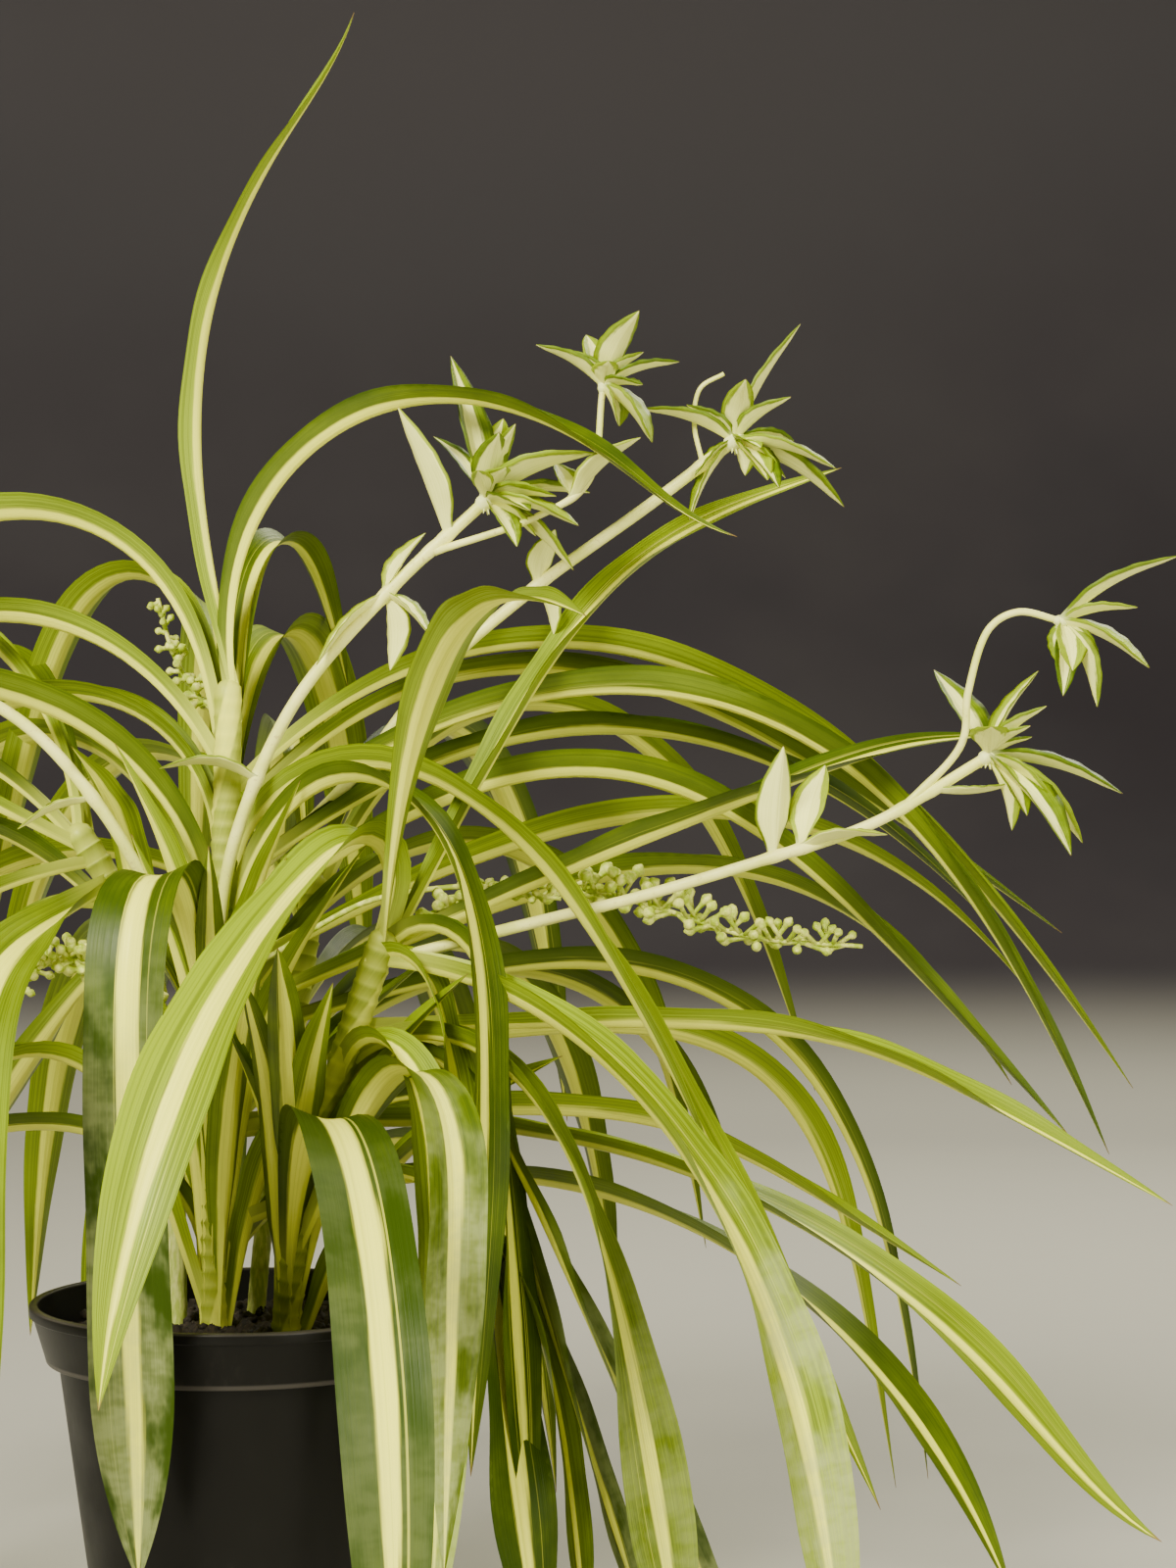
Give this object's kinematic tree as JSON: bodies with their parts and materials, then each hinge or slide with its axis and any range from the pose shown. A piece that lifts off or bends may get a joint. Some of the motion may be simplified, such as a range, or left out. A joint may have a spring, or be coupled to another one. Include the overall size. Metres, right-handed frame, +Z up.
{
  "type": "potted spider plant",
  "caption": "Trailing spider plant in a round nursery pot: arching striped leaves on leafy stems, flower stalks with plantlets and bud sprays.",
  "frame": {"origin": "centre of the pot's underside, on the surface it stands on", "axes": "+Z up along the pot's axis; +X to the right as pictured, towards the long arching leaves; -Y towards the viewer"},
  "size_m": [0.5922, 0.5353, 0.5577],
  "materials": {
    "pot": "satin moulded plastic",
    "soil": "loose damp potting soil",
    "stem": "smooth fleshy stem",
    "leaf": "satin leaf with a cream mid stripe",
    "runner": "smooth wiry stalk",
    "plantlet": "satin leaf",
    "bud": "matte"
  },
  "bodies": {
    "root": {"pot": "pot", "soil": "soil", "stem_center": "stem", "stem_right": "stem", "stem_left": "stem", "stem_back": "stem", "leaves_center": "leaf", "leaves_right": "leaf", "leaves_left": "leaf", "leaves_back": "leaf", "runner_1": "runner", "runner_2": "runner", "runner_3": "runner", "runner_left": "runner", "plantlet_a": "plantlet", "plantlet_b": "plantlet", "plantlet_c": "plantlet", "plantlet_d": "plantlet", "plantlet_e": "plantlet", "plantlet_f": "plantlet", "bud_spray_1": "bud", "bud_spray_2": "bud", "bud_spray_3": "bud", "bud_spray_4": "bud"}
  },
  "joints": []
}
